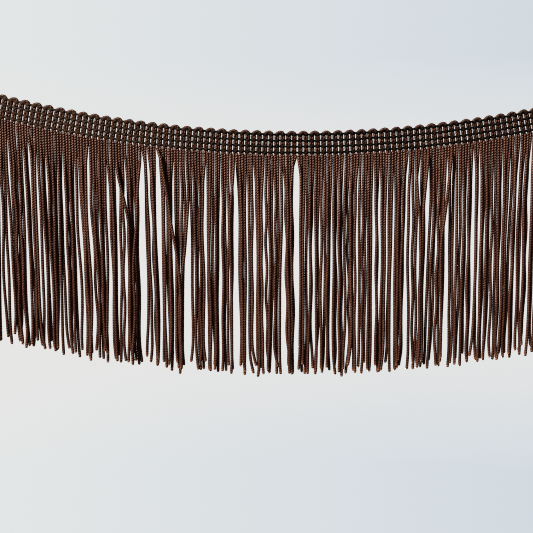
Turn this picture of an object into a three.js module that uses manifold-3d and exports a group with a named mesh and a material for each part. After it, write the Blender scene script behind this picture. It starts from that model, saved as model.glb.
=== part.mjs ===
// Cut fringe trim: a corded heading with a scalloped top edge, four binding chains across it, and a
// cut fringe of twisted cords, hanging in a shallow swag.
// Millimetres, +Z up, the front towards -Y. The sewing face lies in the plane Y = 0, and the origin
// is on it, at the lowest point of the top edge.

import * as THREE from 'three';
import { mergeVertices } from 'three/addons/utils/BufferGeometryUtils.js';
import Module from 'manifold-3d';

// The swag: the top edge hangs as a catenary with this parameter
const SWAG = 485;

// The heading: bars of paired cords, two to a scallop
const SCALLOPS = 54;
const BARS_PER_SCALLOP = 2;
const CORDS_PER_BAR = 2;
const BAR_PITCH = 2.336;
const HEADING_HEIGHT = 9.5;
const SCALLOP_RISE = 1.3;
const SCALLOP_LEAN = 1.27;
const RIB_DEPTH = 1.5;
const GROOVE_DEPTH = 0.8;
const RIB_SHOULDER = 0.62;
const TRIM_LENGTH = SCALLOPS * BARS_PER_SCALLOP * BAR_PITCH;

// The binding chains, from the foot of the scallops down
const CHAINS = 4;
const FIRST_CHAIN = 1.62;
const CHAIN_PITCH = 2.41;
const CHAIN_HEIGHT = 0.45;
const CHAIN_THICKNESS = 0.3;
const CHAIN_END = 0.4;

// Room left between neighbouring pieces
const CLEARANCE = 0.3;

// The fringe: two cords to a bar, hanging in a back and a front layer from a narrow root strip
const STRANDS = SCALLOPS * BARS_PER_SCALLOP * CORDS_PER_BAR;
const STRAND_PITCH = BAR_PITCH / CORDS_PER_BAR;
const STRAND_WIDTH = 0.9;
const BACK_LAYER = 0.6;
const FRONT_LAYER = 1.8;
const STRIP_HEIGHT = 1;
const STRIP_TOP = HEADING_HEIGHT + CLEARANCE;
const ROOT_DROP = STRIP_TOP + STRIP_HEIGHT / 2;
const STRIP_BACK = BACK_LAYER - STRAND_WIDTH / 2;
const STRIP_FRONT = FRONT_LAYER + STRAND_WIDTH / 2;

// Heights below the top edge at which the strands' places are known
const STRAIGHT_DROP = 14;
const UPPER_DROP = 26;
const LOWER_DROP = 80;
const CUT_DROP = 101;
const CUT_UNEVEN = 4.4;

// How the strands lie in a lock: how far inside its edges the outer ones hang, the closest that they
// come, and the share of their pitch by which a bar's two strands draw together
const EDGE_INSET = 0.47;
const CLOSEST_PITCH = 0.63;
const PAIR_DRAW = 0.11;

// The yarns: red-brown fringe cord, a duller brown where it is bound, and near-black thread
const FRINGE_YARN = { color: 0x4a2c1f, roughness: 0.55, metalness: 0 };
const HEADING_YARN = { color: 0x3b271b, roughness: 0.6, metalness: 0 };
const CHAIN_YARN = { color: 0x17110c, roughness: 0.8, metalness: 0 };

// Steps for scattering values evenly between 0 and 1
const GOLDEN_STEP = 0.618034;
const SILVER_STEP = 0.414214;

// The trim's lowest point on the scale of the partings' places
const LOWEST_AT = 4.8;

// Partings between the locks, from left to right: each one's place near the heading and near the
// tips, and its width at those heights
const PARTINGS = [
  { upper: -115.6, lower: -116.8, upperWidth: 0.2, lowerWidth: 1.0 },
  { upper: -111.8, lower: -111.1, upperWidth: 0.7, lowerWidth: 0.7 },
  { upper: -105.9, lower: -105.6, upperWidth: 0.6, lowerWidth: 1.3 },
  { upper: -103.5, lower: -103.0, upperWidth: 0.7, lowerWidth: 0.1 },
  { upper: -100.8, lower: -100.9, upperWidth: 0.5, lowerWidth: 1.0 },
  { upper: -99.0, lower: -98.5, upperWidth: 0.2, lowerWidth: 0.8 },
  { upper: -96.9, lower: -96.5, upperWidth: 0.6, lowerWidth: 0.6 },
  { upper: -90.2, lower: -89.8, upperWidth: 1.0, lowerWidth: 0.7 },
  { upper: -85.5, lower: -85.1, upperWidth: 0.5, lowerWidth: 0.9 },
  { upper: -83.9, lower: -82.7, upperWidth: 0.7, lowerWidth: 1.2 },
  { upper: -79.9, lower: -79.0, upperWidth: 0.7, lowerWidth: 1.2 },
  { upper: -72.1, lower: -71.9, upperWidth: 0.8, lowerWidth: 1.8 },
  { upper: -67.6, lower: -67.6, upperWidth: 0.8, lowerWidth: 0.3 },
  { upper: -64.9, lower: -65.5, upperWidth: 0.6, lowerWidth: 0.7 },
  { upper: -57.8, lower: -57.9, upperWidth: 2.0, lowerWidth: 2.2 },
  { upper: -55.6, lower: -54.3, upperWidth: 0.6, lowerWidth: 0.6 },
  { upper: -51.2, lower: -51.2, upperWidth: 1.7, lowerWidth: 1.0 },
  { upper: -48.8, lower: -49.0, upperWidth: 0.3, lowerWidth: 1.2 },
  { upper: -45.6, lower: -45.7, upperWidth: 0.8, lowerWidth: 0.7 },
  { upper: -38.8, lower: -40.0, upperWidth: 0.6, lowerWidth: 3.2 },
  { upper: -35.1, lower: -35.0, upperWidth: 0.3, lowerWidth: 0.6 },
  { upper: -32.5, lower: -32.8, upperWidth: 1.2, lowerWidth: 1.5 },
  { upper: -30.3, lower: -30.4, upperWidth: 0.6, lowerWidth: 0.4 },
  { upper: -26.3, lower: -26.8, upperWidth: 0.6, lowerWidth: 1.2 },
  { upper: -22.2, lower: -23.0, upperWidth: 0.5, lowerWidth: 0.6 },
  { upper: -20.1, lower: -19.6, upperWidth: 1.5, lowerWidth: 1.5 },
  { upper: -15.5, lower: -15.6, upperWidth: 0.8, lowerWidth: 0.9 },
  { upper: -12.6, lower: -12.4, upperWidth: 0.9, lowerWidth: 1.5 },
  { upper: -8.5, lower: -8.5, upperWidth: 0.6, lowerWidth: 1.2 },
  { upper: -0.6, lower: -0.6, upperWidth: 0.7, lowerWidth: 2.6 },
  { upper: 4.8, lower: 4.8, upperWidth: 2.2, lowerWidth: 2.0 },
  { upper: 7.9, lower: 8.0, upperWidth: 0.4, lowerWidth: 0.8 },
  { upper: 11.4, lower: 11.8, upperWidth: 0.6, lowerWidth: 1.2 },
  { upper: 15.5, lower: 15.5, upperWidth: 0.5, lowerWidth: 0.6 },
  { upper: 19.0, lower: 18.9, upperWidth: 0.7, lowerWidth: 0.9 },
  { upper: 24.7, lower: 25.6, upperWidth: 0.3, lowerWidth: 0.8 },
  { upper: 29.4, lower: 29.7, upperWidth: 0.9, lowerWidth: 0.9 },
  { upper: 36.0, lower: 36.5, upperWidth: 0.9, lowerWidth: 1.2 },
  { upper: 38.7, lower: 38.8, upperWidth: 1.3, lowerWidth: 0.3 },
  { upper: 41.4, lower: 41.7, upperWidth: 0.9, lowerWidth: 1.3 },
  { upper: 44.1, lower: 43.7, upperWidth: 0.6, lowerWidth: 0.8 },
  { upper: 49.2, lower: 49.7, upperWidth: 0.5, lowerWidth: 1.4 },
  { upper: 50.9, lower: 52.2, upperWidth: 1.0, lowerWidth: 0.6 },
  { upper: 54.4, lower: 54.7, upperWidth: 0.9, lowerWidth: 0.3 },
  { upper: 58.4, lower: 58.2, upperWidth: 1.0, lowerWidth: 0.2 },
  { upper: 65.5, lower: 66.2, upperWidth: 0.8, lowerWidth: 1.6 },
  { upper: 69.2, lower: 69.4, upperWidth: 0.6, lowerWidth: 0.8 },
  { upper: 71.1, lower: 71.5, upperWidth: 0.9, lowerWidth: 0.3 },
  { upper: 76.5, lower: 77.0, upperWidth: 1.0, lowerWidth: 1.0 },
  { upper: 79.0, lower: 79.2, upperWidth: 0.6, lowerWidth: 0.6 },
  { upper: 84.8, lower: 85.5, upperWidth: 0.6, lowerWidth: 0.8 },
  { upper: 88.3, lower: 88.7, upperWidth: 0.4, lowerWidth: 0.8 },
  { upper: 90.9, lower: 90.9, upperWidth: 0.6, lowerWidth: 0.7 },
  { upper: 94.4, lower: 94.5, upperWidth: 0.6, lowerWidth: 0.8 },
  { upper: 99.2, lower: 99.5, upperWidth: 0.8, lowerWidth: 0.8 },
  { upper: 104.4, lower: 104.6, upperWidth: 0.7, lowerWidth: 0.9 },
  { upper: 110.2, lower: 110.0, upperWidth: 0.6, lowerWidth: 1.0 },
  { upper: 116.1, lower: 116.3, upperWidth: 0.7, lowerWidth: 0.9 },
];

const wasm = await Module();
wasm.setup();

/** Evenly scattered value from 0 to 1 for a whole number. */
function scatter(n, step) {
  return (n * step) % 1;
}

/** Point of the hanging trim: along its top edge, below that edge, and forward of the sewing face. */
function onSwag(along, drop, forward) {
  const lean = Math.atan2(along, SWAG);
  const edgeX = SWAG * Math.asinh(along / SWAG);
  const edgeZ = Math.hypot(SWAG, along) - SWAG;
  return new THREE.Vector3(edgeX + drop * Math.sin(lean), -forward, edgeZ - drop * Math.cos(lean));
}

/** A closed box with shared corners, each of whose points is moved to where place() puts it. */
function shapedBox(size, segments, place) {
  const box = new THREE.BoxGeometry(...size, ...segments);
  box.deleteAttribute('normal');
  box.deleteAttribute('uv');
  const geometry = mergeVertices(box);
  const points = geometry.attributes.position;
  const point = new THREE.Vector3();
  for (let i = 0; i < points.count; i += 1) {
    point.copy(place(point.fromBufferAttribute(points, i)));
    points.setXYZ(i, point.x, point.y, point.z);
  }
  geometry.computeVertexNormals();
  return geometry;
}

/** Depth of the top edge below its highest line, at a share of the way across a scallop. */
function scallopDip(share) {
  return SCALLOP_RISE * (1 - Math.sin(Math.PI * share ** SCALLOP_LEAN));
}

/** The heading: a band with a flat back, a rib for each bar on its front, and a scalloped top. */
function headingGeometry() {
  const ribColumns = [0, RIB_SHOULDER, BAR_PITCH - RIB_SHOULDER];
  const columns = SCALLOPS * BARS_PER_SCALLOP * ribColumns.length;
  const scallopWidth = BAR_PITCH * BARS_PER_SCALLOP;
  const rows = 2;
  return shapedBox([columns, 1, rows], [columns, 1, rows], (point) => {
    const column = Math.round(point.x + columns / 2);
    const row = Math.round(point.z + rows / 2);
    const bar = Math.floor(column / ribColumns.length);
    const across = bar * BAR_PITCH + ribColumns[column % ribColumns.length];
    const dip = scallopDip((across % scallopWidth) / scallopWidth);
    const drop = [HEADING_HEIGHT, FIRST_CHAIN, dip][row];
    const front = column % ribColumns.length === 0 ? GROOVE_DEPTH : RIB_DEPTH;
    return onSwag(across - TRIM_LENGTH / 2, drop, point.y > 0 ? 0 : front);
  });
}

/** One binding chain, just clear of the ribs' crests. */
function chainGeometry(index) {
  const drop = FIRST_CHAIN + index * CHAIN_PITCH;
  const middle = RIB_DEPTH + CLEARANCE + CHAIN_THICKNESS / 2;
  const size = [TRIM_LENGTH - 2 * CHAIN_END, CHAIN_THICKNESS, CHAIN_HEIGHT];
  return shapedBox(size, [SCALLOPS, 1, 1], (point) => onSwag(point.x, drop - point.z, middle - point.y));
}

/** Groups the strands' numbers into locks, by the partings that their roots lie between. */
function gatherLocks(roots) {
  const locks = Array.from({ length: PARTINGS.length + 1 }, () => []);
  roots.forEach((root, number) => {
    locks[PARTINGS.filter((parting) => parting.upper - LOWEST_AT < root.x).length].push(number);
  });
  return locks;
}

/** Places across the trim of a lock's strands between its left and right edge. */
function spreadLock(strands, left, right, draw) {
  const gaps = Math.max(strands.length - 1, 1);
  const pitch = Math.max((right - left - 2 * EDGE_INSET) / gaps, CLOSEST_PITCH);
  const reach = strands.length > 1 ? (pitch * gaps) / 2 : 0;
  const middle = (left + right) / 2;
  return strands.map((number, n) => {
    const even = middle - reach + n * pitch;
    const drawn = even + (number % 2 === 0 ? draw : -draw) * pitch;
    return THREE.MathUtils.clamp(drawn, middle - reach, middle + reach);
  });
}

/** Each strand's layer and the points it hangs through, from its root to its cut end. */
function strandPaths() {
  const roots = [];
  for (let number = 0; number < STRANDS; number += 1) {
    roots.push(onSwag((number - (STRANDS - 1) / 2) * STRAND_PITCH, ROOT_DROP, 0));
  }
  const start = LOWEST_AT + roots[0].x - EDGE_INSET;
  const end = LOWEST_AT + roots[STRANDS - 1].x + EDGE_INSET;
  const first = { upper: start, lower: start, upperWidth: 0, lowerWidth: 0 };
  const last = { upper: end, lower: end, upperWidth: 0, lowerWidth: 0 };
  const edges = [first, ...PARTINGS, last];
  const paths = [];
  gatherLocks(roots).forEach((strands, lock) => {
    const [left, right] = [edges[lock], edges[lock + 1]];
    const upper = spreadLock(
      strands,
      left.upper + left.upperWidth / 2,
      right.upper - right.upperWidth / 2,
      PAIR_DRAW * (scatter(lock, GOLDEN_STEP) + 0.5),
    );
    const lower = spreadLock(
      strands,
      left.lower + left.lowerWidth / 2,
      right.lower - right.lowerWidth / 2,
      PAIR_DRAW * (scatter(lock, SILVER_STEP) + 0.5),
    );
    strands.forEach((number, n) => {
      const root = roots[number];
      const y = -(number % 2 === 0 ? FRONT_LAYER : BACK_LAYER);
      const cut = CUT_DROP - CUT_UNEVEN * scatter(number, GOLDEN_STEP) ** 2;
      paths.push([
        new THREE.Vector3(root.x, y, root.z),
        new THREE.Vector3(root.x, y, root.z - (STRAIGHT_DROP - ROOT_DROP)),
        new THREE.Vector3(upper[n] - LOWEST_AT, y, root.z - (UPPER_DROP - ROOT_DROP)),
        new THREE.Vector3(lower[n] - LOWEST_AT, y, root.z - (LOWER_DROP - ROOT_DROP)),
        new THREE.Vector3(lower[n] - LOWEST_AT, y, root.z - (cut - ROOT_DROP)),
      ]);
    });
  });
  return paths;
}

/** A four-sided strand through the points of its path. */
function strandGeometry(path) {
  const steps = path.length - 1;
  return shapedBox([STRAND_WIDTH, STRAND_WIDTH, steps], [1, 1, steps], (point) => {
    const knot = path[steps - Math.round(point.z + steps / 2)];
    return new THREE.Vector3(knot.x + point.x, knot.y + point.y, knot.z);
  });
}

/** The narrow strip, clear of the heading's lower edge, that the strands grow from. */
function stripGeometry() {
  const thickness = STRIP_FRONT - STRIP_BACK;
  const middle = (STRIP_FRONT + STRIP_BACK) / 2;
  const size = [TRIM_LENGTH, thickness, STRIP_HEIGHT];
  return shapedBox(size, [SCALLOPS, 1, 1], (point) => (
    onSwag(point.x, ROOT_DROP - point.z, middle - point.y)
  ));
}

/** A closed geometry as a solid that can be joined. */
function toSolid(geometry) {
  const vertProperties = new Float32Array(geometry.attributes.position.array);
  const triVerts = new Uint32Array(geometry.index.array);
  return new wasm.Manifold(new wasm.Mesh({ numProp: 3, vertProperties, triVerts }));
}

/** A joined solid as a geometry. */
function toGeometry(solid) {
  const mesh = solid.getMesh();
  const geometry = new THREE.BufferGeometry();
  geometry.setAttribute('position', new THREE.BufferAttribute(mesh.vertProperties, 3));
  geometry.setIndex(new THREE.BufferAttribute(mesh.triVerts, 1));
  geometry.computeVertexNormals();
  return geometry;
}

/** The fringe: every strand fused by its root into the strip. */
function fringeGeometry() {
  let fringe = toSolid(stripGeometry());
  for (const path of strandPaths()) {
    fringe = fringe.add(toSolid(strandGeometry(path)));
  }
  return toGeometry(fringe);
}

/** A named piece made of a yarn. */
function piece(name, geometry, yarn) {
  const mesh = new THREE.Mesh(geometry, new THREE.MeshStandardMaterial(yarn));
  mesh.name = name;
  return mesh;
}

const trim = new THREE.Group();
trim.add(piece('heading', headingGeometry(), HEADING_YARN));
for (let index = 0; index < CHAINS; index += 1) {
  trim.add(piece(`chain_${index + 1}`, chainGeometry(index), CHAIN_YARN));
}
trim.add(piece('fringe', fringeGeometry(), FRINGE_YARN));

export default trim;
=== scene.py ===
"""Cut fringe trim: two-ply cords that turn over in a scalloped heading and hang down as a cut fringe.

Lengths are in millimetres until a mesh is made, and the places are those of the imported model: +X along
the trim, the front towards -Y, +Z up, the origin at the lowest point of the top edge.
"""
import logging
import math
from dataclasses import dataclass, field
from enum import Enum

import bmesh
import bpy
import numpy as np
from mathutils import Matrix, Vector


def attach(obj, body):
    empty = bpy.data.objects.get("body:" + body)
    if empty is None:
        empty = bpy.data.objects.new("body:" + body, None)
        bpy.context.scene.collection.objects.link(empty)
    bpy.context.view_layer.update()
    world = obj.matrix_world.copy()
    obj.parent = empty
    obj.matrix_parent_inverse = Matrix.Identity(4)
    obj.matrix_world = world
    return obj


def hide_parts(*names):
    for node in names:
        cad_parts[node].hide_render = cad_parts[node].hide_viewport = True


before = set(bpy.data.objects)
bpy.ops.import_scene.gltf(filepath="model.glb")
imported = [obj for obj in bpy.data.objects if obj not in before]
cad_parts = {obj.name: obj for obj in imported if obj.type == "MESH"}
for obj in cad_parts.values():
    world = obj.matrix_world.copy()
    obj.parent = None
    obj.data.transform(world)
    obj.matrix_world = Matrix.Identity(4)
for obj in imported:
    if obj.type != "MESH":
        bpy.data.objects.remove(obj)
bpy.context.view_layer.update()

LOG = logging.getLogger("fringe_trim")
MM = 0.001
TURN = 2.0 * math.pi
GOLDEN_STEP = 0.618034
SILVER_STEP = 0.414214
YARN_MAP = "Yarn"
BAKE_MAP = "OFBake"
# The length in which a cord's two plies turn once.
LAY = 2.11

Array = np.ndarray
Mesh = bpy.types.Mesh
Material = bpy.types.Material
Colour = tuple[float, float, float, float]
# Points, the radii of the corners there, and the points' drops below the top edge.
Paths = tuple[Array, Array, Array]
BLACK: Colour = (0.0, 0.0, 0.0, 1.0)


def scatter(numbers: Array | int, step: float) -> Array | float:
    """Values from 0 to 1, scattered evenly over whole numbers by a step."""
    return (numbers * step) % 1.0


def ease(values: Array, start: Array | float, end: Array | float) -> Array:
    """Smooth rise from 0 at a start value to 1 at an end value."""
    share = np.clip((values - start) / (end - start), 0.0, 1.0)
    return share * share * (3.0 - 2.0 * share)


def ramp(values: Array, start: float, end: float, soft: float) -> Array:
    """Straight rise from 0 at a start value to 1 at an end value, with soft corners."""
    begun, ended = (np.logaddexp(0.0, (values - corner) / soft) for corner in (start, end))
    return (begun - ended) * soft / (end - start)


def blend(first: Array | float, second: Array | float, share: Array) -> Array:
    """A value between two others, by a share from 0 to 1."""
    return first + (second - first) * share


def linear(*screen: int) -> Colour:
    """Shader colour of a screen colour's red, green and blue, by the standard curve of screens."""
    shares = [value / 255.0 for value in screen]
    return (*(s / 12.92 if s <= 0.04045 else ((s + 0.055) / 1.055) ** 2.4 for s in shares), 1.0)


class Layer(Enum):
    """The two layers into which close strands part, by their side of the fringe's middle."""

    FRONT = 1
    BACK = -1


class Turn(Enum):
    """The two cords that turn over in a scallop, by the side of their bars on which they lie."""

    OUTER = 1
    INNER = -1


@dataclass(frozen=True)
class Parting:
    """A parting between two locks: its place near the heading and near the tips, and its widths there.

    Where a width is below zero, the locks overlap.
    """

    upper: float
    lower: float
    upper_width: float
    lower_width: float


# Read from the photo, from left to right: both places, then both widths.
PARTINGS = tuple(Parting(*row) for row in (
    (-115.6, -116.8, 0.2, 1.0), (-111.8, -111.1, 0.7, -0.3), (-105.9, -105.6, 0.6, 1.3),
    (-103.5, -102.7, 1.0, 0.5), (-100.8, -100.9, 0.5, 1.0), (-99.0, -98.5, 0.2, 0.8),
    (-96.9, -96.5, 0.6, 0.6), (-92.4, -93.0, 0.5, 0.4), (-90.2, -89.8, 1.0, 0.7),
    (-85.5, -85.1, 0.5, 0.9), (-83.9, -82.7, 0.7, 1.2), (-79.9, -79.0, 1.0, 1.4),
    (-72.1, -71.9, 0.8, 1.8), (-67.6, -68.4, 0.4, 0.4), (-64.9, -65.5, 0.9, 1.1),
    (-57.8, -57.9, 1.8, 1.7), (-55.4, -54.3, 1.0, 0.7), (-51.8, -51.3, 1.8, 1.2),
    (-48.8, -49.0, 0.3, 1.2), (-45.6, -45.7, 0.8, 0.7), (-38.8, -40.0, 0.2, 2.6),
    (-35.1, -35.0, 0.3, 0.6), (-32.5, -32.8, 1.7, 1.8), (-30.3, -30.4, 0.6, 0.4),
    (-26.3, -26.8, 0.6, 1.2), (-22.2, -23.0, 0.5, 0.6), (-19.7, -19.2, 0.7, 0.8),
    (-15.5, -15.6, 0.8, 0.9), (-12.6, -12.4, 0.9, 1.5), (-8.7, -8.6, 0.9, 1.2),
    (-0.6, -0.6, 0.7, 2.6), (4.8, 4.7, 2.9, 2.3), (7.9, 8.0, 0.7, 0.8),
    (9.6, 9.3, 0.6, 0.4), (11.4, 11.8, 0.6, 1.2), (15.5, 15.5, 0.5, 0.6),
    (19.0, 18.9, 0.4, 0.9), (24.7, 25.6, 0.3, 0.8), (29.4, 29.7, 0.9, 0.9),
    (36.0, 36.5, 0.9, 1.2), (38.7, 38.8, 1.3, 0.3), (41.4, 41.6, 1.3, 0.8),
    (44.2, 44.1, 0.8, 1.5), (49.5, 49.5, 0.7, 1.6), (51.1, 51.8, 1.2, 0.8),
    (54.4, 54.7, 0.9, 0.3), (58.7, 58.2, 0.2, -1.1), (65.8, 66.6, 1.2, 2.9),
    (69.2, 69.4, 0.6, 0.8), (70.6, 70.8, 0.7, 0.3), (76.5, 77.0, 1.0, 1.0),
    (79.0, 79.2, 0.6, 0.6), (84.8, 85.5, 0.6, 0.8), (88.3, 88.7, 0.4, 0.8),
    (91.0, 90.4, 1.0, 0.8), (94.4, 94.5, 0.3, 0.5), (99.2, 99.5, 0.8, 0.8),
    (104.4, 104.6, 0.7, 0.9), (110.2, 110.0, 0.6, 1.0), (116.1, 116.3, 0.7, 0.9),
))


@dataclass(frozen=True)
class Stray:
    """A front strand that crosses over others.

    It hangs near a place, goes sideways by a shift between two drops, and is lifted over what it crosses.
    """

    place: float
    shift: float
    start: float
    end: float
    lift: float


# Read from the photo: place, shift, the two drops, and lift.
STRAYS = (
    Stray(-68.6, 5.0, 21.0, 43.0, 1.2),
    Stray(-59.9, -2.9, 19.0, 61.0, 1.9),
    Stray(-50.6, 7.6, 13.0, 64.0, 1.2),
    Stray(-39.0, -1.8, 38.0, 60.0, 1.2),
    Stray(-20.6, -2.0, 15.0, 35.0, 1.2),
    Stray(52.2, 2.0, 20.0, 38.0, 1.2),
    Stray(57.4, -2.3, 14.0, 36.0, 1.2),
    Stray(68.6, -4.5, 14.0, 48.0, 1.2),
)


@dataclass(frozen=True)
class Grain:
    """Noise on a cord or thread: grains around it and along it, and how far its tone sets it apart.

    The turns, in each millimetre, are those of grains that wind round it.
    """

    around: float
    along: float
    turns: float
    spread: float
    detail: float
    roughness: float = 0.6


class Value:
    """A socket's number in a shader; Python's operators on it add Math nodes."""

    def __init__(self, shader: "Shader", socket: bpy.types.NodeSocket) -> None:
        """Wraps a socket of a shader."""
        self.shader = shader
        self.socket = socket

    def _math(self, operation: str, *terms: "Value | float") -> "Value":
        """The result of one Math node, from its operation and the values or numbers that it takes."""
        inputs = dict(enumerate(terms))
        return self.shader.node("ShaderNodeMath", {"operation": operation}, inputs, 0)

    def __add__(self, other: "Value | float") -> "Value":
        """This value plus another."""
        return self._math("ADD", self, other)

    __radd__ = __add__

    def __sub__(self, other: "Value | float") -> "Value":
        """This value less another."""
        return self._math("SUBTRACT", self, other)

    def __rsub__(self, other: "Value | float") -> "Value":
        """Another value less this one."""
        return self._math("SUBTRACT", other, self)

    def __mul__(self, other: "Value | float") -> "Value":
        """This value times another."""
        return self._math("MULTIPLY", self, other)

    __rmul__ = __mul__

    def __pow__(self, other: "Value | float") -> "Value":
        """This value to a power."""
        return self._math("POWER", self, other)


class Shader:
    """A material's nodes, each made by one method."""

    def __init__(self, name: str) -> None:
        """Starts a material with a Principled shader.

        Args:
            name: The material's name.
        """
        self.material = bpy.data.materials.new(name)
        self.material.use_nodes = True
        self.tree = self.material.node_tree
        self.principled = self.tree.nodes["Principled BSDF"]

    def node(
        self,
        kind: str,
        settings: dict[str, object],
        inputs: dict[str | int, "Value | float | tuple"],
        output: str | int,
    ) -> Value:
        """Adds a node, its settings first.

        Args:
            kind: The node's type.
            settings: Its settings by name.
            inputs: Values, numbers or colours for its sockets, by name or place.
            output: The output that is wanted, by name or place.

        Returns:
            That output.
        """
        node = self.tree.nodes.new(kind)
        for name, setting in settings.items():
            setattr(node, name, setting)
        for key, value in inputs.items():
            self.feed(node.inputs[key], value)
        return Value(self, node.outputs[output])

    def feed(self, socket: bpy.types.NodeSocket, value: "Value | float | tuple") -> None:
        """Links a value to a socket, or sets a number or colour on it.

        Args:
            socket: The socket.
            value: What it gets.
        """
        if isinstance(value, Value):
            self.tree.links.new(value.socket, socket)
        else:
            socket.default_value = value

    def dress(self, **inputs: "Value | float | tuple") -> None:
        """Sets or links the Principled shader's sockets, whose spaces are written as underscores."""
        for name, value in inputs.items():
            self.feed(self.principled.inputs[name.replace("_", " ")], value)

    def attribute(self, name: str) -> Value:
        """A number that the mesh carries at its points."""
        return self.node("ShaderNodeAttribute", {"attribute_name": name}, {}, "Fac")

    def axis(self, place: Value, name: str) -> Value:
        """One coordinate of a place."""
        return self.node("ShaderNodeSeparateXYZ", {}, {"Vector": place}, name)

    def yarn(self) -> tuple[Value, Value]:
        """The share of the way round a cord or thread, and the millimetres along it."""
        place = self.node("ShaderNodeUVMap", {"uv_map": YARN_MAP}, {}, "UV")
        return self.axis(place, "X"), self.axis(place, "Y")

    def noise(self, grain: Grain) -> Value:
        """Noise from 0 to 1 on a cord or thread.

        Args:
            grain: Its grain.

        Returns:
            The noise.
        """
        around, along = self.yarn()
        x = (around + along * grain.turns) * grain.around
        place = {"X": x, "Y": along * grain.along, "Z": self.attribute("tone") * grain.spread}
        inputs = {
            "Vector": self.node("ShaderNodeCombineXYZ", {}, place, "Vector"),
            "Scale": 1.0,
            "Detail": grain.detail,
            "Roughness": grain.roughness,
        }
        return self.node("ShaderNodeTexNoise", {}, inputs, "Fac")

    def mix(self, share: Value | float, first: Value | Colour, second: Value | Colour) -> Value:
        """A colour mixed from two, by the share that the second has in it."""
        # A Mix node's inputs 6 and 7 are its two colours, and its output 2 is the mixed one.
        settings = {"data_type": "RGBA", "clamp_factor": True}
        return self.node("ShaderNodeMix", settings, {0: share, 6: first, 7: second}, 2)

    def bump(self, height: Value, strength: float, distance: float) -> Value:
        """A normal tilted by a height, with a strength and the height's size in metres."""
        inputs = {"Height": height, "Strength": strength, "Distance": distance}
        return self.node("ShaderNodeBump", {}, inputs, "Normal")


@dataclass(frozen=True)
class CordFinish:
    """Twisted rayon cord: painted shade between its plies, streaked along its filaments, lighter where it
    is cut.
    """

    name: str
    crest: Colour
    worn: Colour
    # The colour of the painted shade between the plies, and of the dark streaks.
    groove_shade_and_streak: Colour
    cut: Colour
    gloss: Colour
    roughness: float
    ply_shade: float = 0.95
    ply_curve: float = 1.5
    relief: float = 0.16
    relief_strength: float = 0.8
    streak: Grain = Grain(around=22.0, along=0.45, turns=1.25 / LAY, spread=37.0, detail=3.0)
    streak_contrast: float = 1.6
    streak_start: float = 0.55
    streak_relief: float = 0.35
    streak_roughness: float = 0.25
    patch: Grain = Grain(around=0.6, along=0.05, turns=0.0, spread=91.0, detail=2.0)
    tone_share: float = 0.7
    patch_share: float = 0.3
    cut_share: float = 0.45
    cut_streak: float = 0.8
    gloss_level: float = 0.5
    sheen: float = 0.05
    sheen_roughness: float = 0.4

    def material(self) -> Material:
        """The finish as a material.

        Returns:
            The material, which reads the cords' own map and point numbers.
        """
        shader = Shader(self.name)
        tone, depth, cut = (shader.attribute(name) for name in ("tone", "depth", "cut"))
        streak, patch = shader.noise(self.streak), shader.noise(self.patch)
        body = shader.mix(tone * self.tone_share + patch * self.patch_share, self.crest, self.worn)
        streaked = shader.mix(streak * self.streak_contrast - self.streak_start, self.groove_shade_and_streak, body)
        # Painted shade: the depth darkens the cord towards its shade colour in the grooves between the
        # plies, and on the heading's bars where the chains pinch them.
        groove_shaded = shader.mix(depth ** self.ply_curve * self.ply_shade, streaked, self.groove_shade_and_streak)
        ends = shader.mix(cut * (self.cut_share + streak * self.cut_streak), groove_shaded, self.cut)
        height = streak * self.streak_relief - depth
        shader.dress(
            Base_Color=ends,
            Roughness=self.roughness + streak * self.streak_roughness,
            Normal=shader.bump(height, self.relief_strength, self.relief * MM),
            Specular_IOR_Level=self.gloss_level,
            Specular_Tint=self.gloss,
            Sheen_Weight=self.sheen,
            Sheen_Roughness=self.sheen_roughness,
            Sheen_Tint=self.cut,
        )
        return shader.material


@dataclass(frozen=True)
class ThreadFinish:
    """Fine matt binding thread, with painted light that makes it paler near its left end and painted shade
    where it sinks between bars.
    """

    name: str
    dark: Colour
    light: Colour
    left_light_length: float
    left_light_share: float = 1.2
    twist_share: float = 0.6
    sunk_share: float = 0.7
    twist: Grain = Grain(around=7.0, along=1.1, turns=1.4, spread=23.0, detail=2.0)
    twist_roughness: float = 0.25
    roughness: float = 0.6
    relief: float = 0.03
    relief_strength: float = 0.6
    gloss_level: float = 0.015

    def material(self) -> Material:
        """The finish as a material.

        Returns:
            The material, which reads the threads' own map and point numbers.
        """
        shader = Shader(self.name)
        along, sunk = shader.yarn()[1], shader.attribute("depth")
        twist = shader.noise(self.twist)
        clamped = {"operation": "SUBTRACT", "use_clamp": True}
        left_light = shader.node("ShaderNodeMath", clamped, {0: 1.0, 1: along * (1.0 / self.left_light_length)}, 0)
        # Painted light pales the thread towards its left end; painted shade darkens it where it sinks
        # between the bars.
        paleness = left_light * self.left_light_share + twist * self.twist_share - sunk * self.sunk_share
        shader.dress(
            Base_Color=shader.mix(paleness, self.dark, self.light),
            Roughness=self.roughness + twist * self.twist_roughness,
            Normal=shader.bump(twist, self.relief_strength, self.relief * MM),
            Specular_IOR_Level=self.gloss_level,
        )
        return shader.material


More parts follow.
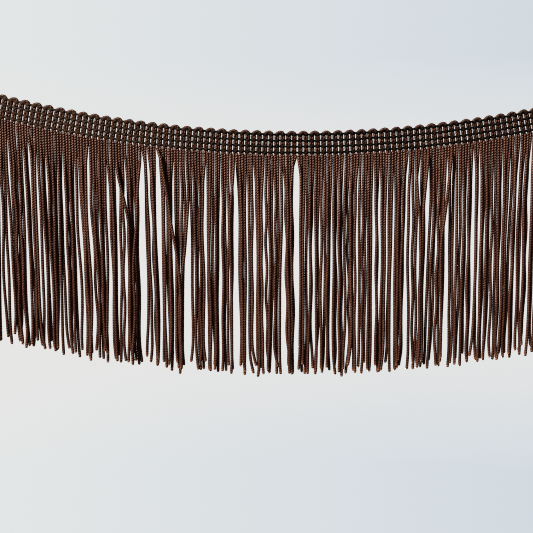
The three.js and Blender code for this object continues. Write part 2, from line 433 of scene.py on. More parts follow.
@dataclass(frozen=True)
class StageFinish:
    """Pale paper of the studio with painted light: warmer to the left, cooler to the right, lighter in a
    band at one level; metres.
    """

    name: str
    left: Colour
    right: Colour
    lit_band: Colour
    reach: float = 1.2
    lit_band_level: float = -0.45
    lit_band_reach: float = 0.66

    def material(self) -> Material:
        """The finish as a material.

        Returns:
            The material, which glows evenly with its painted light so that no shadow falls on it.
        """
        shader = Shader(self.name)
        place = shader.node("ShaderNodeTexCoord", {}, {}, "Object")
        # Painted light: warmer to the left, cooler to the right, and lighter in a band at one level.
        sides = shader.mix(shader.axis(place, "X") * (0.5 / self.reach) + 0.5, self.left, self.right)
        away = (shader.axis(place, "Z") - self.lit_band_level) * (1.0 / self.lit_band_reach)
        shader.dress(
            Base_Color=BLACK,
            Roughness=1.0,
            Specular_IOR_Level=0.0,
            Emission_Color=shader.mix(1.0 - away * away, sides, self.lit_band),
            Emission_Strength=1.0,
        )
        return shader.material


FRINGE_CORD = CordFinish(
    "fringe_cord",
    crest=linear(128, 79, 61),
    worn=linear(73, 37, 25),
    groove_shade_and_streak=linear(20, 4, 1),
    cut=linear(154, 100, 68),
    gloss=linear(212, 162, 138),
    roughness=0.34,
)
HEADING_CORD = CordFinish(
    "heading_cord",
    crest=linear(86, 51, 37),
    worn=linear(52, 30, 22),
    groove_shade_and_streak=linear(11, 5, 3),
    cut=linear(130, 84, 60),
    gloss=linear(218, 158, 128),
    roughness=0.42,
    ply_shade=0.5,
    relief=0.08,
)
CHAIN_THREAD = ThreadFinish(
    "chain_thread",
    dark=linear(4, 2, 1),
    light=linear(48, 33, 23),
    left_light_length=130.0,
)
BACKDROP_PAPER = StageFinish(
    "backdrop_paper",
    left=linear(230, 232, 231),
    right=linear(207, 216, 224),
    lit_band=linear(231, 230, 228),
)
FLOOR_PAPER = StageFinish(
    "floor_paper",
    left=linear(232, 233, 233),
    right=linear(210, 217, 223),
    lit_band=linear(231, 230, 228),
)


@dataclass(frozen=True)
class Swag:
    """The catenary in which the trim's top edge hangs."""

    parameter: float = 485.0

    def lean(self, along: Array) -> Array:
        """How far the edge leans at places along it, in radians."""
        return np.arctan2(along, self.parameter)

    def place(self, along: Array, drop: Array, forward: Array) -> Array:
        """Points of the hanging trim.

        Args:
            along: Places along its top edge from the lowest point.
            drop: Depths below that edge, square to it.
            forward: Depths in front of the sewing face.

        Returns:
            The points, with X, Y and Z on the last axis.
        """
        lean = self.lean(along)
        x = self.parameter * np.arcsinh(along / self.parameter) + drop * np.sin(lean)
        z = np.hypot(self.parameter, along) - self.parameter - drop * np.cos(lean)
        return np.stack(np.broadcast_arrays(x, -np.asarray(forward), z), axis=-1)


@dataclass(frozen=True)
class TrimSizes:
    """Sizes that the heading, the chains and the fringe share."""

    swag: Swag = Swag()
    scallops: int = 54
    bars_per_scallop: int = 2
    cords_per_bar: int = 2
    bar_pitch: float = 2.336
    heading_height: float = 9.5
    first_chain: float = 1.62
    chain_pitch: float = 2.41
    chains: int = 4
    chain_end: float = 0.4
    root_drop: float = 10.3

    @property
    def bars(self) -> int:
        """Number of bars in the heading."""
        return self.scallops * self.bars_per_scallop

    @property
    def strands(self) -> int:
        """Number of strands in the fringe."""
        return self.bars * self.cords_per_bar

    @property
    def strand_pitch(self) -> float:
        """Distance between strands where they leave the heading."""
        return self.bar_pitch / self.cords_per_bar

    @property
    def length(self) -> float:
        """Length of the trim along its top edge."""
        return self.bars * self.bar_pitch

    def root_places(self, strands: Array) -> Array:
        """Places of strands along the top edge, by their numbers from the left."""
        return (strands - (self.strands - 1) / 2) * self.strand_pitch

    @property
    def chain_drops(self) -> Array:
        """Depths of the chains below the top edge."""
        return self.first_chain + self.chain_pitch * np.arange(self.chains)


@dataclass
class Tubes:
    """Swept tubes of one kind; tube, ring and corner are the first three axes of their points.

    A point has a depth between plies, which the finishes also paint as shade, a ring a length along and a
    nearness to a cut, and a tube a tone.
    """

    points: Array
    along: Array
    depth: Array
    cut: Array
    tone: Array
    strip_margin: float = 0.02
    strip_gutter: float = 0.08
    end_disc: float = 0.4

    def part(self, tubes: slice | Array, rings: slice) -> "Tubes":
        """Some of the tubes, and some of their rings."""
        values = (self.points, self.along, self.depth, self.cut)
        return Tubes(*(value[tubes, rings] for value in values), self.tone[tubes])

    @staticmethod
    def join(sets: list["Tubes"]) -> "Tubes":
        """Sets of tubes with like rings as one set."""
        names = ("points", "along", "depth", "cut", "tone")
        return Tubes(*(np.concatenate([getattr(tubes, name) for tubes in sets]) for name in names))

    def mesh(self, name: str) -> Mesh:
        """The tubes as one mesh, closed at their ends.

        Args:
            name: The mesh's name.

        Returns:
            The mesh, with its maps and the numbers at its points.
        """
        shape = self.points.shape[:3]
        number = np.arange(math.prod(shape)).reshape(shape)
        beside = np.roll(number, -1, axis=2)
        quads = np.stack((number[:, :-1], beside[:, :-1], beside[:, 1:], number[:, 1:]), axis=-1)
        caps = np.stack((number[:, 0, ::-1], number[:, -1]), axis=1)
        walls = quads.reshape(-1, quads.shape[-1]).tolist()
        ends = caps.reshape(-1, caps.shape[-1]).tolist()
        mesh = bpy.data.meshes.new(name)
        mesh.from_pydata((self.points * MM).reshape(-1, 3).tolist(), [], walls + ends)
        mesh.polygons.foreach_set("use_smooth", np.arange(len(walls + ends)) < len(walls))
        self._add_map(mesh, YARN_MAP, *self._yarn_map())
        self._add_map(mesh, BAKE_MAP, *self._strip_map())
        self._add_number(mesh, "depth", self.depth)
        self._add_number(mesh, "tone", np.broadcast_to(self.tone[:, None, None], shape))
        self._add_number(mesh, "cut", np.broadcast_to(self.cut[:, :, None], shape))
        mesh.update()
        return mesh

    def _yarn_map(self) -> tuple[Array, Array]:
        """Map in the yarn's own measure: share of the way round, and millimetres along.

        Returns:
            The map's two coordinates at each loop.
        """
        corners = self.points.shape[2]
        share = np.arange(corners + 1) / corners
        caps = np.stack((share[-2::-1], share[:-1]))
        return self._loop_map(share, self.along[:, :, None], caps, self.along[:, [0, -1], None])

    def _strip_map(self) -> tuple[Array, Array]:
        """Map in which each tube is one upright strip, with its ends as small discs above and below.

        Returns:
            The map's two coordinates at each loop.
        """
        tubes, rings, corners = self.points.shape[:3]
        margin, gutter = self.strip_margin, self.strip_gutter
        left = (np.arange(tubes) + gutter / 2) / tubes
        width = (1.0 - gutter) / tubes
        column = left[:, None, None] + width * np.arange(corners + 1) / corners
        height = margin + (1.0 - 2.0 * margin) * np.arange(rings)[None, :, None] / (rings - 1)
        turn = TURN * np.arange(corners) / corners
        radius = min(width, margin) * self.end_disc
        disc_u = (left + width / 2)[:, None, None] + radius * np.cos(turn)
        disc_v = np.array((margin / 2, 1.0 - margin / 2))[None, :, None] + radius * np.sin(turn)
        return self._loop_map(column, height, disc_u, disc_v)

    def _loop_map(self, column: Array, height: Array, cap_u: Array, cap_v: Array) -> tuple[Array, Array]:
        """Puts a map of the tubes' walls and ends in the order of the mesh's loops.

        Args:
            column: First coordinate at each corner of a ring, and at the one with which it closes.
            height: Second coordinate at each ring.
            cap_u: First coordinate at the corners of both ends.
            cap_v: Second coordinate there.

        Returns:
            The map's two coordinates at each loop.
        """
        tubes, rings, corners = self.points.shape[:3]
        ones = np.ones((tubes, rings - 1, corners))
        near, far = ones * column[..., :-1], ones * column[..., 1:]
        low, high = ones * height[:, :-1], ones * height[:, 1:]
        u = np.stack((near, far, far, near), axis=-1)
        v = np.stack((low, low, high, high), axis=-1)
        caps = [np.broadcast_to(cap, (tubes, 2, corners)) for cap in (cap_u, cap_v)]
        return np.concatenate((u.ravel(), caps[0].ravel())), np.concatenate((v.ravel(), caps[1].ravel()))

    @staticmethod
    def _add_map(mesh: Mesh, name: str, u: Array, v: Array) -> None:
        """Adds a map to a mesh from its two coordinates at each loop."""
        layer = mesh.uv_layers.new(name=name)
        layer.data.foreach_set("uv", np.stack((u, v), axis=-1).astype(np.float32).ravel())

    @staticmethod
    def _add_number(mesh: Mesh, name: str, values: Array) -> None:
        """Adds a number to a mesh's points."""
        layer = mesh.attributes.new(name, "FLOAT", "POINT")
        layer.data.foreach_set("value", values.astype(np.float32).ravel())


def sweep(paths: Array, radii: Array, turns: Array) -> Array:
    """Rings of points about paths that run mostly in the plane of the trim.

    Args:
        paths: Points of each path; path, step and coordinate are the axes.
        radii: Radius of each corner at each step; path, step and corner are the axes.
        turns: How far each ring is turned about its path, in radians.

    Returns:
        The rings' points; path, step, corner and coordinate are the axes.
    """
    ahead = np.gradient(paths, axis=1)
    ahead /= np.linalg.norm(ahead, axis=-1, keepdims=True)
    back = np.array((0.0, 1.0, 0.0))
    side = back - ahead * ahead[..., 1:2]
    side /= np.linalg.norm(side, axis=-1, keepdims=True)
    across = np.cross(ahead, side)
    corners = radii.shape[-1]
    angle = turns[..., None] + TURN * np.arange(corners) / corners
    ring = np.cos(angle)[..., None] * side[:, :, None] + np.sin(angle)[..., None] * across[:, :, None]
    return paths[:, :, None] + radii[..., None] * ring


def path_lengths(paths: Array) -> Array:
    """Length along each path from its first point to each of its points."""
    steps = np.linalg.norm(np.diff(paths, axis=1), axis=-1)
    return np.concatenate((np.zeros((len(paths), 1)), np.cumsum(steps, axis=1)), axis=1)


@dataclass
class Locks:
    """Where the strands hang: gathered into locks between the partings."""

    sizes: TrimSizes
    lowest_at: float = 4.8
    cord_diameter: float = 1.06
    edge_inset: float = 0.47
    closest_pitch: float = 0.63
    pair_draw: float = 0.11
    least_draw: float = 0.5
    root_draw: float = 0.02
    least_step: float = 0.36
    drift: float = 0.14
    roots: Array = field(init=False)
    upper: Array = field(init=False)
    lower: Array = field(init=False)
    upper_step: Array = field(init=False)
    lower_step: Array = field(init=False)

    def __post_init__(self) -> None:
        """Works out each strand's place at its root, near the heading and near the tips."""
        sizes = self.sizes
        number = np.arange(sizes.strands)
        along = sizes.root_places(number) + np.where(number % 2 == 0, self.root_draw, -self.root_draw)
        drop = np.full(sizes.strands, sizes.root_drop)
        self.roots = sizes.swag.place(along, drop, np.zeros(sizes.strands))[:, 0]
        start = self.lowest_at + self.roots[0] - self.edge_inset
        end = self.lowest_at + self.roots[-1] + self.edge_inset
        edges = (Parting(start, start, 0.0, 0.0), *PARTINGS, Parting(end, end, 0.0, 0.0))
        lock_of = np.searchsorted([parting.upper - self.lowest_at for parting in PARTINGS], self.roots)
        upper = [(edge.upper, edge.upper_width / 2) for edge in edges]
        lower = [(edge.lower, edge.lower_width / 2) for edge in edges]
        self.upper, self.upper_step = self._gather(lock_of, upper, GOLDEN_STEP)
        self.lower, self.lower_step = self._gather(lock_of, lower, SILVER_STEP)
        self.lower += self.drift

    def _gather(
        self, lock_of: Array, edges: list[tuple[float, float]], step: float
    ) -> tuple[Array, Array]:
        """Gathers the strands into their locks at one level.

        Args:
            lock_of: Each strand's lock.
            edges: Place and half width of each parting, from one end of the trim to the other.
            step: Step by which the locks' slides are scattered.

        Returns:
            Each strand's place, and how far apart in depth its lock's layers hang.
        """
        places, steps = np.zeros(len(lock_of)), np.zeros(len(lock_of))
        for lock, ((left, left_half), (right, right_half)) in enumerate(zip(edges, edges[1:])):
            strands = np.flatnonzero(lock_of == lock)
            slide = self.pair_draw * (scatter(lock, step) + self.least_draw)
            places[strands] = self._spread(strands, left + left_half, right - right_half, slide)
            steps[strands] = self._step(places[strands])
        return places, steps

    def _step(self, places: Array) -> float:
        """How far apart in depth a lock's two layers must hang so that its strands clear each other."""
        closest = np.diff(places).min() if len(places) > 1 else self.cord_diameter
        return max(math.sqrt(max(self.cord_diameter ** 2 - closest ** 2, 0.0)), self.least_step)

    def stray_strand(self, stray: Stray) -> int:
        """Number of the front strand that strays, the nearest one to its place."""
        front = np.arange(0, self.sizes.strands, 2)
        return int(front[np.argmin(np.abs(self.upper[front] + self.lowest_at - stray.place))])

    def _spread(self, strands: Array, left: float, right: float, slide: float) -> Array:
        """Places of one lock's strands.

        Args:
            strands: Their numbers.
            left: The lock's left edge.
            right: Its right edge.
            slide: How far its two layers slide sideways, in pitches.

        Returns:
            Their places across the trim.
        """
        count = len(strands)
        gaps = max(count - 1, 1)
        pitch = max((right - left - 2 * self.edge_inset) / gaps, self.closest_pitch)
        reach = pitch * gaps / 2 if count > 1 else 0.0
        middle = (left + right) / 2
        slid = middle - reach + np.arange(count) * pitch + np.where(strands % 2 == 0, slide, -slide) * pitch
        return np.clip(slid, middle - reach, middle + reach) - self.lowest_at


@dataclass
class Cords:
    """Every cord, from its left cut end up, over its scallop and down to its right cut end."""

    sizes: TrimSizes
    locks: Locks
    lay: float = LAY
    bound_section: tuple[float, ...] = (0.55, 0.61, 0.64, 0.61)
    root_section: tuple[float, ...] = (0.6, 0.64, 0.665, 0.64)
    tip_section: tuple[float, ...] = (0.588, 0.618, 0.644, 0.618)
    open_section: tuple[float, ...] = (0.42, 0.6, 0.68, 0.6)
    ply_depth: tuple[float, ...] = (1.0, 0.5, 0.0, 0.5)
    settled_depth: float = 0.36
    strand_rings: int = 228
    leg_rings: int = 22
    arch_rings: int = 11
    half_pair: float = 0.45
    pinch: float = 0.1
    pinch_height: float = 0.5
    pinch_shade: float = 0.5
    bulge: float = 0.35
    bar_sway: float = 0.14
    sway_lengths: tuple[float, float] = (11.0, 4.7)
    bar_uneven: float = 0.06
    bound_depth: float = 0.8
    fullness: tuple[float, float] = (0.95, 1.06)
    end_fuller: float = 0.05
    arch_fuller: float = 0.04
    pinch_thinner: float = 0.16
    arch_foot: float = 3.2
    arch_head: float = 0.9
    arch_step: float = 0.15
    outer_rise: float = 1.0
    inner_rise: float = 0.4
    scallop_tuck: float = 0.22
    outer_lean: float = 0.3
    inner_lean: float = 0.12
    straight_drop: float = 15.5
    upper_drop: float = 31.0
    pulled_straight_drop: float = 10.5
    pulled_upper_drop: float = 16.0
    weak_pull: float = 0.55
    strong_pull: float = 1.1
    lower_drop: float = 80.0
    cut_drop: float = 100.6
    end_longer: float = 1.0
    cut_uneven: float = 4.4
    cut_longer: float = 1.8
    uneven_power: int = 2
    longer_power: int = 4
    open_length: float = 0.45
    taper: float = 0.3
    taper_length: float = 0.25
    cut_fade: float = 0.65
    end_length: float = 9.0
    end_bend: float = 0.45
    flat_at_tip: float = 0.46
    flat_power: float = 0.4
    free_depth: float = 1.2
    depth_sway: float = 0.1
    depth_sway_drops: tuple[float, float] = (14.0, 60.0)
    root_uneven: float = 0.08
    root_hold: float = 0.4
    wander: float = 0.18
    wander_range: tuple[float, float] = (0.3, 1.7)
    wander_lengths: tuple[float, float] = (22.0, 60.0)
    wander_drops: tuple[float, float] = (12.0, 40.0)
    stray_soft: float = 2.0
    stray_lift: tuple[float, float] = (-5.0, 3.0)
    flare: float = 0.45
    seed: int = 11
    tubes: Tubes = field(init=False)

    def __post_init__(self) -> None:
        """Lays every cord's path and sweeps its two plies along it."""
        sizes = self.sizes
        self.chance = np.random.default_rng(self.seed)
        scallop = np.repeat(np.arange(sizes.scallops), len(Turn))
        outer = np.tile([True, False], sizes.scallops)
        strands_each = sizes.bars_per_scallop * sizes.cords_per_bar
        inside = np.where(outer, 0, 1)
        self.left_strand = scallop * strands_each + inside
        self.right_strand = (scallop + 1) * strands_each - 1 - inside
        bound = self._bound_paths(scallop, outer)
        left = self._free_paths(self.left_strand, bound[0][:, 0])
        right = self._free_paths(self.right_strand, bound[0][:, -1])
        paths, radii, drop = (
            np.concatenate((up[:, :0:-1], over, down[:, 1:]), axis=1)
            for up, over, down in zip(left, bound, right)
        )
        along = path_lengths(paths)
        cut = np.exp(-along / self.cut_fade) + np.exp((along - along[:, -1:]) / self.cut_fade)
        start = self.chance.uniform(0.0, TURN, (len(paths), 1))
        points = sweep(paths, radii, start + TURN * along / self.lay)
        tone = self.chance.uniform(0.0, 1.0, len(paths))
        # The depth is painted as shade: strongly in the grooves between the plies, more evenly towards the
        # tips where the plies settle, and on the bars where the chains pinch them.
        settled = self.flat_at_tip * self._flatness(drop)[..., None]
        depth = blend(self._both_plies(self.ply_depth), self.settled_depth, settled)
        depth = np.maximum(depth, self.pinch_shade * self._pinch_at(drop)[..., None])
        self.tubes = Tubes(points, along, depth, cut, tone)

    @property
    def bound_rings(self) -> slice:
        """The rings of each cord that lie in the heading."""
        start = self.strand_rings - 1
        return slice(start, start + 2 * self.leg_rings + self.arch_rings)

    def strand(self, number: int) -> Tubes:
        """One strand of the fringe.

        Args:
            number: Its number from the left.

        Returns:
            The cord's rings from the strand's place in the heading to its cut end, or the other way.
        """
        rings = self.bound_rings
        hits = np.flatnonzero(self.left_strand == number)
        if hits.size:
            return self.tubes.part(hits, slice(0, rings.start + 1))
        return self.tubes.part(np.flatnonzero(self.right_strand == number), slice(rings.stop - 1, None))

    def _flatness(self, drop: Array) -> Array:
        """How far the plies have settled into each other at depths below the top edge, from 0 to 1."""
        return ease(drop, self.sizes.heading_height, self.cut_drop) ** self.flat_power

    def _pinch_at(self, drop: Array) -> Array:
        """How firmly the chains pinch a bar at depths below the top edge, from 0 to 1."""
        apart = (drop[..., None] - self.sizes.chain_drops) / self.pinch_height
        return np.exp(-apart * apart).sum(axis=-1)

    @staticmethod
    def _both_plies(values: tuple[float, ...]) -> Array:
        """Values at a ring's corners, from those of one of the cord's two plies."""
        return np.tile(values, 2)

    def _bound_paths(self, scallop: Array, outer: Array) -> Paths:
        """The cords' way through the heading: up a bar, over the scallop and down the next bar.

        Args:
            scallop: Each cord's scallop.
            outer: Which cords are the outer ones of their scallops.

        Returns:
            The paths' points, the radius of each corner there, and the points' drops below the top edge.
        """
        sizes = self.sizes
        leg = np.linspace(sizes.heading_height, sizes.first_chain, self.leg_rings)
        turn = np.linspace(0.0, math.pi, self.arch_rings + 2)[1:-1]
        side = np.where(outer, Turn.OUTER.value, Turn.INNER.value)[:, None]
        rise = np.where(outer, self.outer_rise, self.inner_rise)[:, None]
        lean = np.where(outer, self.outer_lean, self.inner_lean)[:, None]
        spread = sizes.bar_pitch / 2 + side * self.half_pair * (1.0 - self.pinch * self._pinch_at(leg))
        tuck = 1.0 - self.scallop_tuck * np.sin(turn)
        arch_across = -spread[:, -1:] * np.cos(turn) * tuck + lean * np.sin(turn) ** 2
        arch_drop = sizes.first_chain - rise * np.sin(turn)
        across = np.concatenate((-spread, arch_across, spread[:, ::-1]), axis=1)
        legs = np.broadcast_to(leg, spread.shape)
        drop = np.concatenate((legs, arch_drop, legs[:, ::-1]), axis=1)
        middle = ((scallop + 0.5) * sizes.bar_pitch * sizes.bars_per_scallop - sizes.length / 2)[:, None]
        arch_share = ease(-drop, -self.arch_foot, -self.arch_head)
        uneven = self.chance.uniform(-self.bar_uneven, self.bar_uneven, (len(scallop), 1))
        wave = sum(np.sin(middle / length) for length in self.sway_lengths)
        sway = uneven + self.bar_sway * wave * (drop / sizes.heading_height - 0.5)
        pinched = self._pinch_at(drop)
        free = (1.0 - pinched) * (1.0 - arch_share)
        forward = self.bound_depth + side * self.arch_step * arch_share + self.bulge * free
        path = sizes.swag.place(middle + across + sway, drop, forward)
        full = self.chance.uniform(*self.fullness, (len(scallop), 1))
        full = full + self.end_fuller * (2.0 * middle / sizes.length) ** 2
        full = full + self.arch_fuller * arch_share - self.pinch_thinner * pinched * (1.0 - arch_share)
        return path, full[..., None] * self._both_plies(self.bound_section), drop

    def _free_paths(self, strand: Array, start: Array) -> Paths:
        """The strands' way from the heading to their cut ends.

        Args:
            strand: The strands' numbers.
            start: The points at which they leave the heading.

        Returns:
            The paths' points, the radius of each corner there, and the points' drops below the top edge.
        """
        top = self.sizes.heading_height
        cut = self._cut_drops(strand)
        drop = np.linspace(np.full(len(strand), top), cut, self.strand_rings, axis=1)
        cut = cut[:, None]
        x = self._across(strand, start[:, 0], drop)
        forward = self._forward(strand, -start[:, 1:2], drop)
        bend = self.chance.normal(0.0, self.end_bend, (len(strand), 1))
        # The bend is half done at the cut, so it is doubled.
        x = x + 2.0 * bend * ease(drop, cut - self.end_length, cut + self.end_length)
        for stray in STRAYS:
            row = np.flatnonzero(strand == self.locks.stray_strand(stray))
            x[row] += stray.shift * ramp(drop[row], stray.start, stray.end, self.stray_soft)
            forward[row] += stray.lift * ease(drop[row] - stray.start, *self.stray_lift)
        z = start[:, 2:3] - (drop - top)
        return np.stack((x, -forward, z), axis=-1), self._free_sections(drop, cut - drop), drop

    def _cut_drops(self, strand: Array) -> Array:
        """Depths below the top edge at which strands are cut: unevenly, and longer near the trim's ends.

        Args:
            strand: The strands' numbers.

        Returns:
            The depths.
        """
        shorter = self.cut_uneven * scatter(strand, GOLDEN_STEP) ** self.uneven_power
        longer = self.cut_longer * scatter(strand, SILVER_STEP) ** self.longer_power
        from_middle = 2.0 * self.sizes.root_places(strand) / self.sizes.length
        return self.cut_drop - shorter + longer + self.end_longer * from_middle ** 2

    def _parting_drops(self, strand: Array) -> tuple[Array, Array]:
        """Depths to which strands hang straight, and at which they have parted.

        Args:
            strand: The strands' numbers.

        Returns:
            The two depths of each strand, less where its lock pulls it far aside.
        """
        aside = np.abs(self.locks.upper[strand] - self.locks.roots[strand])
        pull = ease(aside, self.weak_pull, self.strong_pull)
        straight = blend(self.straight_drop, self.pulled_straight_drop, pull)
        return straight, blend(self.upper_drop, self.pulled_upper_drop, pull)

    def _across(self, strand: Array, start: Array, drop: Array) -> Array:
        """Where strands hang across the trim.

        Args:
            strand: The strands' numbers.
            start: Their places where they leave the heading.
            drop: Their points' depths below the top edge.

        Returns:
            The points' places.
        """
        sizes, locks, count = self.sizes, self.locks, len(strand)
        flared = self.chance.normal(0.0, self.flare, count)
        uneven = self.chance.normal(0.0, self.root_uneven, count)
        root, upper, lower = locks.roots[strand], locks.upper[strand], locks.lower[strand]
        places = (start, root + uneven * self.root_hold, root + uneven, upper, lower, lower + flared)
        straight, parted = self._parting_drops(strand)
        levels = (sizes.heading_height, sizes.root_drop, straight, parted, self.lower_drop, drop[:, -1])
        knots = np.stack([np.broadcast_to(level, count) for level in levels], axis=1)
        slope = np.tan(sizes.swag.lean(sizes.root_places(strand)))
        x = self._through(knots, np.stack(places, axis=1), slope, drop)
        wave = self.chance.uniform(*self.wander_lengths, (count, 1))
        phase = self.chance.uniform(0.0, TURN, (count, 1))
        amount = self.wander * self.chance.uniform(*self.wander_range, (count, 1))
        return x + amount * ease(drop, *self.wander_drops) * np.sin(TURN * drop / wave + phase)

    def _forward(self, strand: Array, start: Array, drop: Array) -> Array:
        """How far strands hang in front of the sewing face.

        Args:
            strand: The strands' numbers.
            start: How far in front they leave the heading.
            drop: Their points' depths below the top edge.

        Returns:
            How far in front each point is.
        """
        layer = np.where(strand % 2 == 0, Layer.FRONT.value, Layer.BACK.value)[:, None]
        upper, lower = self.locks.upper_step[strand][:, None], self.locks.lower_step[strand][:, None]
        step = blend(upper, lower, ease(drop, self.upper_drop, self.lower_drop))
        sway = self.chance.normal(0.0, self.depth_sway, (len(strand), 1))
        hung = self.free_depth + layer * step / 2 + sway * ease(drop, *self.depth_sway_drops)
        parted = self._parting_drops(strand)[1][:, None]
        return blend(start, hung, ease(drop, self.sizes.heading_height, parted))

    def _free_sections(self, drop: Array, from_cut: Array) -> Array:
        """Sections of free strands, which flatten on their way down and open at the cut.

        Args:
            drop: Their points' depths below the top edge.
            from_cut: The points' distances from the cut.

        Returns:
            The radius of each corner at each point.
        """
        sections = (self.bound_section, self.root_section, self.tip_section, self.open_section)
        bound, root, tip, opened = (self._both_plies(section) for section in sections)
        from_cut = from_cut[..., None]
        loosened = ease(drop, self.sizes.heading_height, self.sizes.root_drop)[..., None]
        section = blend(bound, blend(root, tip, self._flatness(drop)[..., None]), loosened)
        section = blend(section, opened, np.exp(-from_cut / self.open_length))
        return section * (1.0 - self.taper * np.exp(-from_cut / self.taper_length))

    @staticmethod
    def _through(knots: Array, places: Array, first_slope: Array, at: Array) -> Array:
        """Smooth curves through known places, in cubic pieces.

        Args:
            knots: Drops of the known places, one row for each strand.
            places: The places there.
            first_slope: Each curve's slope at its first knot.
            at: Drops at which the curves are read.

        Returns:
            The curves' places.
        """
        slopes = np.gradient(places, axis=1) / np.gradient(knots, axis=1)
        slopes[:, 0] = first_slope
        result = np.empty_like(at)
        for row in range(len(knots)):
            span = np.clip(np.searchsorted(knots[row], at[row], side="right") - 1, 0, knots.shape[1] - 2)
            width = knots[row, span + 1] - knots[row, span]
            t = (at[row] - knots[row, span]) / width
            low, high = places[row, span], places[row, span + 1]
            low_slope, high_slope = slopes[row, span] * width, slopes[row, span + 1] * width
            result[row] = (
                (2 * t**3 - 3 * t**2 + 1) * low + (t**3 - 2 * t**2 + t) * low_slope
                + (3 * t**2 - 2 * t**3) * high + (t**3 - t**2) * high_slope
            )
        return result


def make_piece(name: str, mesh: Mesh, material: Material, node: str) -> None:
    """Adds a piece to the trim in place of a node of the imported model.

    Args:
        name: The piece's name.
        mesh: Its mesh.
        material: Its finish.
        node: The node that it stands for.
    """
    mesh.materials.append(material)
    piece = bpy.data.objects.new(name, mesh)
    bpy.context.scene.collection.objects.link(piece)
    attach(piece, "root")
    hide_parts(node)
    triangles = sum(len(polygon.vertices) - 2 for polygon in mesh.polygons)
    LOG.info("%s: %d triangles for node %s", name, triangles, node)


@dataclass
class Heading:
    """The scalloped heading: the cords' bound lengths, each over its own scallop."""

    cords: Cords
    finish: CordFinish = HEADING_CORD

    def build(self) -> Mesh:
        """The bound lengths as one mesh."""
        return self.cords.tubes.part(slice(None), self.cords.bound_rings).mesh("heading_cords")

    def dress(self) -> None:
        """Adds the heading to the scene."""
        make_piece("heading_cords", self.build(), self.finish.material(), "heading")


@dataclass
class Fringe:
    """The free, cut lengths of the cords, in pieces of neighbouring strands."""

    cords: Cords
    pieces: int = 6
    finish: CordFinish = FRINGE_CORD

    def build(self, numbers: Array, name: str) -> Mesh:
        """Some strands, by their numbers, as one mesh."""
        return Tubes.join([self.cords.strand(int(number)) for number in numbers]).mesh(name)

    def dress(self) -> None:
        """Adds the fringe to the scene."""
        material = self.finish.material()
        groups = np.array_split(np.arange(self.cords.sizes.strands), self.pieces)
        for index, numbers in enumerate(groups, start=1):
            name = f"fringe_cords_{index}"
            make_piece(name, self.build(numbers, name), material, "fringe")


@dataclass
class Chain:
    """One binding chain: two threads that lie over each bar and cross between the bars, and one behind."""

    sizes: TrimSizes
    number: int
    corners: int = 5
    rings_per_bar: int = 6
    thread: float = 0.43
    thicker: float = 0.03
    swing: float = 0.19
    sag: float = 0.16
    front_over: float = 1.46
    front_between: float = 1.15
    back_over: float = 0.27
    back_between: float = 0.6
    weave: float = 0.07
    uneven: float = 0.1
    tones: tuple[float, float, float] = (0.2, 0.55, 0.9)

    @property
    def name(self) -> str:
        """Name of the chain's piece."""
        return f"chain_threads_{self.number}"

    def build(self) -> Mesh:
        """The chain's threads as one mesh.

        Returns:
            The mesh.
        """
        sizes = self.sizes
        reach = sizes.length / 2 - sizes.chain_end
        along = np.linspace(-reach, reach, sizes.bars * self.rings_per_bar + 1)
        turn = TURN * along / sizes.bar_pitch / 2
        over_bar = 0.5 + 0.5 * np.cos(TURN * (along / sizes.bar_pitch + 0.5))
        front = blend(self.front_between, self.front_over, over_bar)
        back = blend(self.back_between, self.back_over, over_bar)
        chance = np.random.default_rng(self.number)
        knots = np.linspace(-reach, reach, sizes.bars)
        uneven = np.interp(along, knots, chance.normal(0.0, self.uneven, sizes.bars))
        level = sizes.chain_drops[self.number - 1] + self.sag * (over_bar - 0.5) + uneven
        drops = np.stack((level + self.swing * np.sin(turn), level - self.swing * np.sin(turn), level))
        forward = np.stack((front + self.weave * np.cos(turn), front - self.weave * np.cos(turn), back))
        paths = sizes.swag.place(np.broadcast_to(along, drops.shape), drops, forward)
        thickness = self.thread + self.thicker * (over_bar - 0.5)
        radii = np.broadcast_to(thickness[:, None], (*drops.shape, self.corners))
        points = sweep(paths, radii, np.zeros(drops.shape))
        # How far the threads sink between the bars, which the finish paints as shade.
        depth = np.broadcast_to((1.0 - over_bar)[:, None], radii.shape)
        threads = Tubes(points, path_lengths(paths), depth, np.zeros(drops.shape), np.array(self.tones))
        return threads.mesh(self.name)

    def dress(self, material: Material) -> None:
        """Adds the chain to the scene in its finish."""
        make_piece(self.name, self.build(), material, f"chain_{self.number}")


@dataclass(frozen=True)
class SoftLight:
    """A square light, by its direction to the right of the trim's front and above the level.

    Degrees, metres and watts.
    """

    name: str
    azimuth: float
    elevation: float
    size: float
    power: float


KEY_LIGHT = SoftLight("key_light", azimuth=-55.0, elevation=38.0, size=0.62, power=225.0)
BACK_LIGHT = SoftLight("back_light", azimuth=178.0, elevation=-35.0, size=0.8, power=130.0)


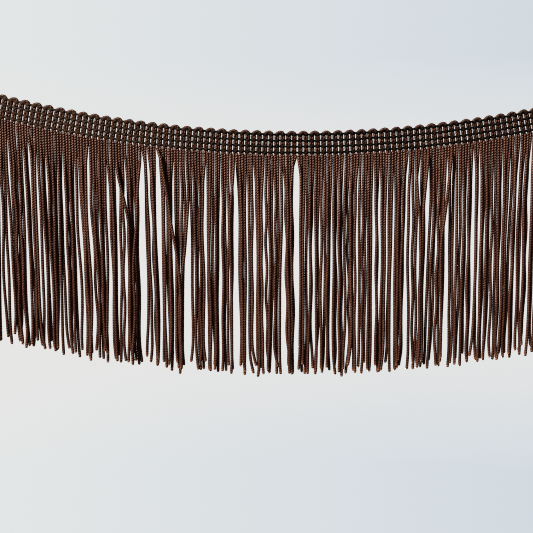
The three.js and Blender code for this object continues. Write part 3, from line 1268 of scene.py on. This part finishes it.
@dataclass
class Studio:
    """Pale surroundings, a key light at the front left, a light behind the trim, and a low fill; metres."""

    reach: float = 3.0
    dome_steps: int = 32
    floor_drop: float = 1.35
    floor_share: float = 0.6
    light_distance: float = 2.5
    fill: float = 0.158
    fill_colour: Colour = (1.0, 0.91, 0.85, 1.0)
    target: tuple[float, float, float] = (0.0, 0.0, -0.045)

    def build(self) -> None:
        """Adds the surroundings and the lights."""
        self._add_dome()
        self._add_floor()
        self._add_light(KEY_LIGHT)
        self._add_light(BACK_LIGHT)
        world = bpy.data.worlds.new("studio_fill")
        world.use_nodes = True
        background = world.node_tree.nodes["Background"]
        background.inputs["Color"].default_value = self.fill_colour
        background.inputs["Strength"].default_value = self.fill
        bpy.context.scene.world = world
        view = bpy.context.scene.view_settings
        view.view_transform = "Standard"
        view.look = "None"
        view.exposure = 0.0
        view.gamma = 1.0

    @staticmethod
    def _stage(name: str, mesh: Mesh, finish: StageFinish) -> None:
        """Adds a stage piece that only the camera sees.

        Args:
            name: Its name.
            mesh: Its mesh.
            finish: Its finish.
        """
        mesh.materials.append(finish.material())
        piece = bpy.data.objects.new(name, mesh)
        bpy.context.scene.collection.objects.link(piece)
        piece.visible_diffuse = False
        piece.visible_glossy = False
        piece.visible_transmission = False
        piece.visible_shadow = False

    def _add_dome(self) -> None:
        """Adds the pale surroundings, a wide ball seen from inside."""
        steps = self.dome_steps
        ball = bmesh.new()
        bmesh.ops.create_uvsphere(ball, u_segments=2 * steps, v_segments=steps, radius=self.reach)
        mesh = bpy.data.meshes.new("backdrop")
        ball.to_mesh(mesh)
        ball.free()
        self._stage("backdrop", mesh, BACKDROP_PAPER)

    def _add_floor(self) -> None:
        """Adds the pale floor below the trim."""
        half = self.reach * self.floor_share
        sides = ((-half, -half), (half, -half), (half, half), (-half, half))
        mesh = bpy.data.meshes.new("floor")
        mesh.from_pydata([(x, y, -self.floor_drop) for x, y in sides], [], [(0, 1, 2, 3)])
        mesh.update()
        self._stage("floor", mesh, FLOOR_PAPER)

    def _add_light(self, kind: SoftLight) -> None:
        """Adds a light that points at the trim and doesn't show to the camera.

        Args:
            kind: What light it is.
        """
        right, up = math.radians(kind.azimuth), math.radians(kind.elevation)
        way = Vector((math.sin(right) * math.cos(up), -math.cos(right) * math.cos(up), math.sin(up)))
        data = bpy.data.lights.new(kind.name, "AREA")
        data.size = kind.size
        data.energy = kind.power
        light = bpy.data.objects.new(kind.name, data)
        bpy.context.scene.collection.objects.link(light)
        light.location = Vector(self.target) + way * self.light_distance
        light.rotation_mode = "QUATERNION"
        light.rotation_quaternion = (-way).to_track_quat("-Z", "Y")
        light.visible_camera = False


@dataclass
class View:
    """The camera, a little above the trim and looking slightly down at it.

    Metres and degrees; the lens and the sensor in millimetres.
    """

    aim: tuple[float, float, float] = (-0.0124, -0.0012, -0.0553)
    distance: float = 0.411
    pitch: float = 8.3
    lens: float = 67.54
    sensor: float = 36.0
    nearest: float = 0.01
    farthest: float = 20.0
    film_blur: float = 1.0

    def build(self) -> None:
        """Adds the camera and makes it the scene's own."""
        pitch = math.radians(self.pitch)
        back = Vector((0.0, -math.cos(pitch), math.sin(pitch)))
        data = bpy.data.cameras.new("camera")
        data.lens = self.lens
        data.sensor_width = self.sensor
        data.clip_start = self.nearest
        data.clip_end = self.farthest
        camera = bpy.data.objects.new("camera", data)
        bpy.context.scene.collection.objects.link(camera)
        camera.location = Vector(self.aim) + back * self.distance
        camera.rotation_mode = "QUATERNION"
        camera.rotation_quaternion = (-back).to_track_quat("-Z", "Y")
        bpy.context.scene.camera = camera
        bpy.context.scene.cycles.filter_width = self.film_blur
        bpy.context.scene.cycles.use_denoising = False


def main() -> None:
    """Builds the trim and its studio."""
    logging.basicConfig(level=logging.INFO, format="%(name)s: %(message)s")
    sizes = TrimSizes()
    View().build()
    cords = Cords(sizes, Locks(sizes))
    Heading(cords).dress()
    Fringe(cords).dress()
    thread = CHAIN_THREAD.material()
    for number in range(1, sizes.chains + 1):
        Chain(sizes, number).dress(thread)
    Studio().build()


if __name__ == "__main__":
    main()
